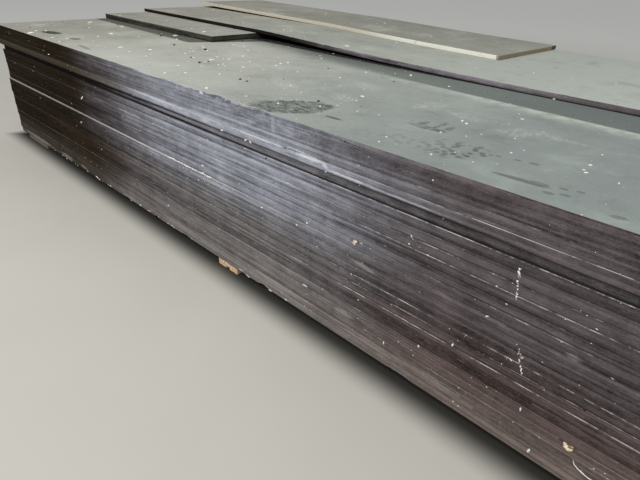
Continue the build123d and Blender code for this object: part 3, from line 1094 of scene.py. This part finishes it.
# a run of flakes along the ledge in the middle of the stack, some fallen below it,
# and one along the lower arris
LEDGE = STACK_BOTTOM + LEDGE_SHEET * SHEET
for k in range(80):
    x = 1.17 + 0.21 * chance.random() ** 0.8
    z = LEDGE + chance.gauss(0.0002, 0.001) - 0.0008
    size = draw(0.0012, 0.0022, 2)
    on_front(white, x, z, size * chance.uniform(1.5, 4.5), size, 0.0008, chance.gauss(0, 0.12))
for k in range(26):
    size = draw(0.001, 0.0026, 2)
    x = chance.gauss(1.34, 0.06)
    z = LEDGE - abs(chance.gauss(0, 0.013))
    on_front(white, x, z, size * chance.uniform(1, 2.4), size, 0.0007, chance.gauss(0, 0.6))
for k in range(34):
    x = chance.uniform(0.3, 1.75)
    size = draw(0.0016, 0.0034, 2)
    z = STACK_BOTTOM + abs(chance.gauss(0.0025, 0.0022))
    on_front(white, x, z, size * chance.uniform(1.5, 5), size, 0.0008)

# Single flakes on the front: x, z, length and width in millimetres, and tilt
FRONT_FLAKES = (
    (0.505, 0.389, 19, 4, 0.2), (0.7, 0.288, 30, 5, 0.6), (0.66, 0.202, 16, 3, 0.2),
    (1.347, 0.254, 14, 3, 0), (1.521, 0.3612, 10, 4, 0.4), (1.536, 0.3608, 8, 3, -0.3),
    (1.44, 0.3622, 10, 4, 0), (1.161, 0.083, 11, 5, 0.4), (2.04, 0.148, 4, 9, -0.2),
    (1.981, 0.107, 4, 6, 0.3), (1.909, 0.068, 3, 8, 0.2), (2.167, 0.102, 3, 9, 0.1),
    (2.197, 0.034, 4, 10, -0.2), (1.7, 0.091, 18, 3, 0), (2.083, 0.232, 10, 3, 0.7),
    (1.933, 0.293, 4, 3, 0), (1.563, 0.223, 8, 3, 0.2), (1.67, 0.223, 7, 3, 0.4),
    (1.7, 0.24, 6, 4, 0),
)
# Scraped streaks down the front: both ends, the number of flakes and the largest one
STREAKS = (
    ((2.11, 0.331), (2.117, 0.281), 34, 0.0038),
    ((2.135, 0.211), (2.143, 0.188), 9, 0.0022),
    ((2.143, 0.188), (2.155, 0.165), 18, 0.0032),
)
# Pale splinters that hang from the broken sheet: points as x, z and distance before the
# front, and the radius
SPLINTERS = (
    (((2.254, 0.069, 0), (2.2585, 0.0628, 0.0022), (2.265, 0.0602, 0.0034), (2.2725, 0.0583, 0.0042),
      (2.28, 0.057, 0.0046), (2.289, 0.0562, 0.004), (2.3, 0.054, 0.002)), 0.0007),
    (((2.268, 0.058, 0), (2.276, 0.0552, 0.002), (2.284, 0.055, 0.003), (2.294, 0.0525, 0.0015)), 0.0004),
)
FRONT_CRUMBS = (
    (1.58, 0.338, 0.006), (1.787, 0.427, 0.004), (1.602, 0.293, 0.004), (2.26, 0.21, 0.004),
)
for x, z, length, width, tilt in FRONT_FLAKES:
    on_front(white, x, z, 0.001 * length, 0.001 * width, 0.0009, tilt)
for (x0, z0), (x1, z1), count, largest in STREAKS:
    for k in range(count):
        share = chance.random()
        size = largest * chance.uniform(0.3, 1) ** 1.6
        on_front(white, x0 + (x1 - x0) * share + chance.gauss(0, 0.0012), z0 + (z1 - z0) * share,
                 size * chance.uniform(0.6, 1.1), size * chance.uniform(0.7, 1.5), 0.0007)
front_y = front_lines[3][1].y
for route, radius in SPLINTERS:
    white.strand([Vector((STACK.x + x, front_y - out, z)) for x, z, out in route], radius)
for x, z, size in FRONT_CRUMBS:
    on_front(black, x, z, size, size * 0.7, 0.0012, 0.4)
white.build("white_paint_flakes", white_paint)
black.build("black_crumb_lumps", black_crumb)


# Stage

FLOOR_SIZE = 60
bpy.ops.mesh.primitive_plane_add(size=FLOOR_SIZE, location=(0, 0, 0))
floor = bpy.context.object
floor.name = "studio_floor"
floor.data.materials.append(floor_paint)

# The camera that was fitted to the photograph: its place in metres from the stack's corner,
# its focal length in pixels of the picture and its sensor's width in millimetres
FOCAL_PIXELS = 490
IMAGE_WIDTH = 640
SENSOR = 36
YAW = math.radians(43.07)
PITCH = math.radians(29.67)
ROLL = math.radians(2.366)
CAMERA_FROM_CORNER = Vector((2.2965, -0.599, 0.6841))
ahead = Vector((-math.sin(YAW) * math.cos(PITCH), math.cos(YAW) * math.cos(PITCH), -math.sin(PITCH)))
level_right = Vector((math.cos(YAW), math.sin(YAW), 0))
level_up = level_right.cross(ahead)
right = level_right * math.cos(ROLL) + level_up * math.sin(ROLL)
up = level_up * math.cos(ROLL) - level_right * math.sin(ROLL)
camera = show("camera", bpy.data.cameras.new("camera"))
camera.data.sensor_width = SENSOR
camera.data.lens = FOCAL_PIXELS / IMAGE_WIDTH * SENSOR
camera.data.clip_start = 0.01
camera.data.clip_end = 200
turned = Matrix((right, up, -ahead)).transposed()
camera.matrix_world = Matrix.LocRotScale(STACK + CAMERA_FROM_CORNER, turned, None)
bpy.context.scene.camera = camera

# The sky is brighter overhead than at the horizon, and plain grey behind the object
SKY_COLOR = (0.95, 0.98, 1, 1)
SKY_BEHIND = 0.72
SKY_RISE = (("From Min", 0), ("From Max", 0.6), ("To Min", 0.15), ("To Max", 0.52))
world = bpy.data.worlds.new("studio")
world.use_nodes = True
sky = world.node_tree
ray = add_node(sky, "LightPath").outputs["Is Camera Ray"]
direction = add_node(sky, "TexCoord").outputs["Generated"]
parts = add_node(sky, "SeparateXYZ", (0, direction)).outputs
rise = add_node(sky, "MapRange", ("Value", parts["Z"]), *SKY_RISE).outputs[0]
strength = add_node(sky, "Mix", (0, ray), (2, rise), (3, SKY_BEHIND)).outputs[0]
background = sky.nodes["Background"]
put(sky, background.inputs["Color"], SKY_COLOR)
put(sky, background.inputs["Strength"], strength)
bpy.context.scene.world = world

# One large soft lamp overhead
LAMP_PLACE = Vector((0.3, -2.8, 3))
LAMP_TARGET = Vector((0.1, -0.2, 0.3))
lamp = bpy.data.lights.new("overhead", "AREA")
lamp.shape = "RECTANGLE"
lamp.size = 4
lamp.size_y = 2
lamp.energy = 100
lamp.color = (1, 0.99, 0.97)
overhead = show("overhead", lamp)
overhead.location = LAMP_PLACE
overhead.rotation_euler = (LAMP_TARGET - LAMP_PLACE).to_track_quat("-Z", "Y").to_euler()

bpy.context.scene.view_settings.view_transform = "Standard"
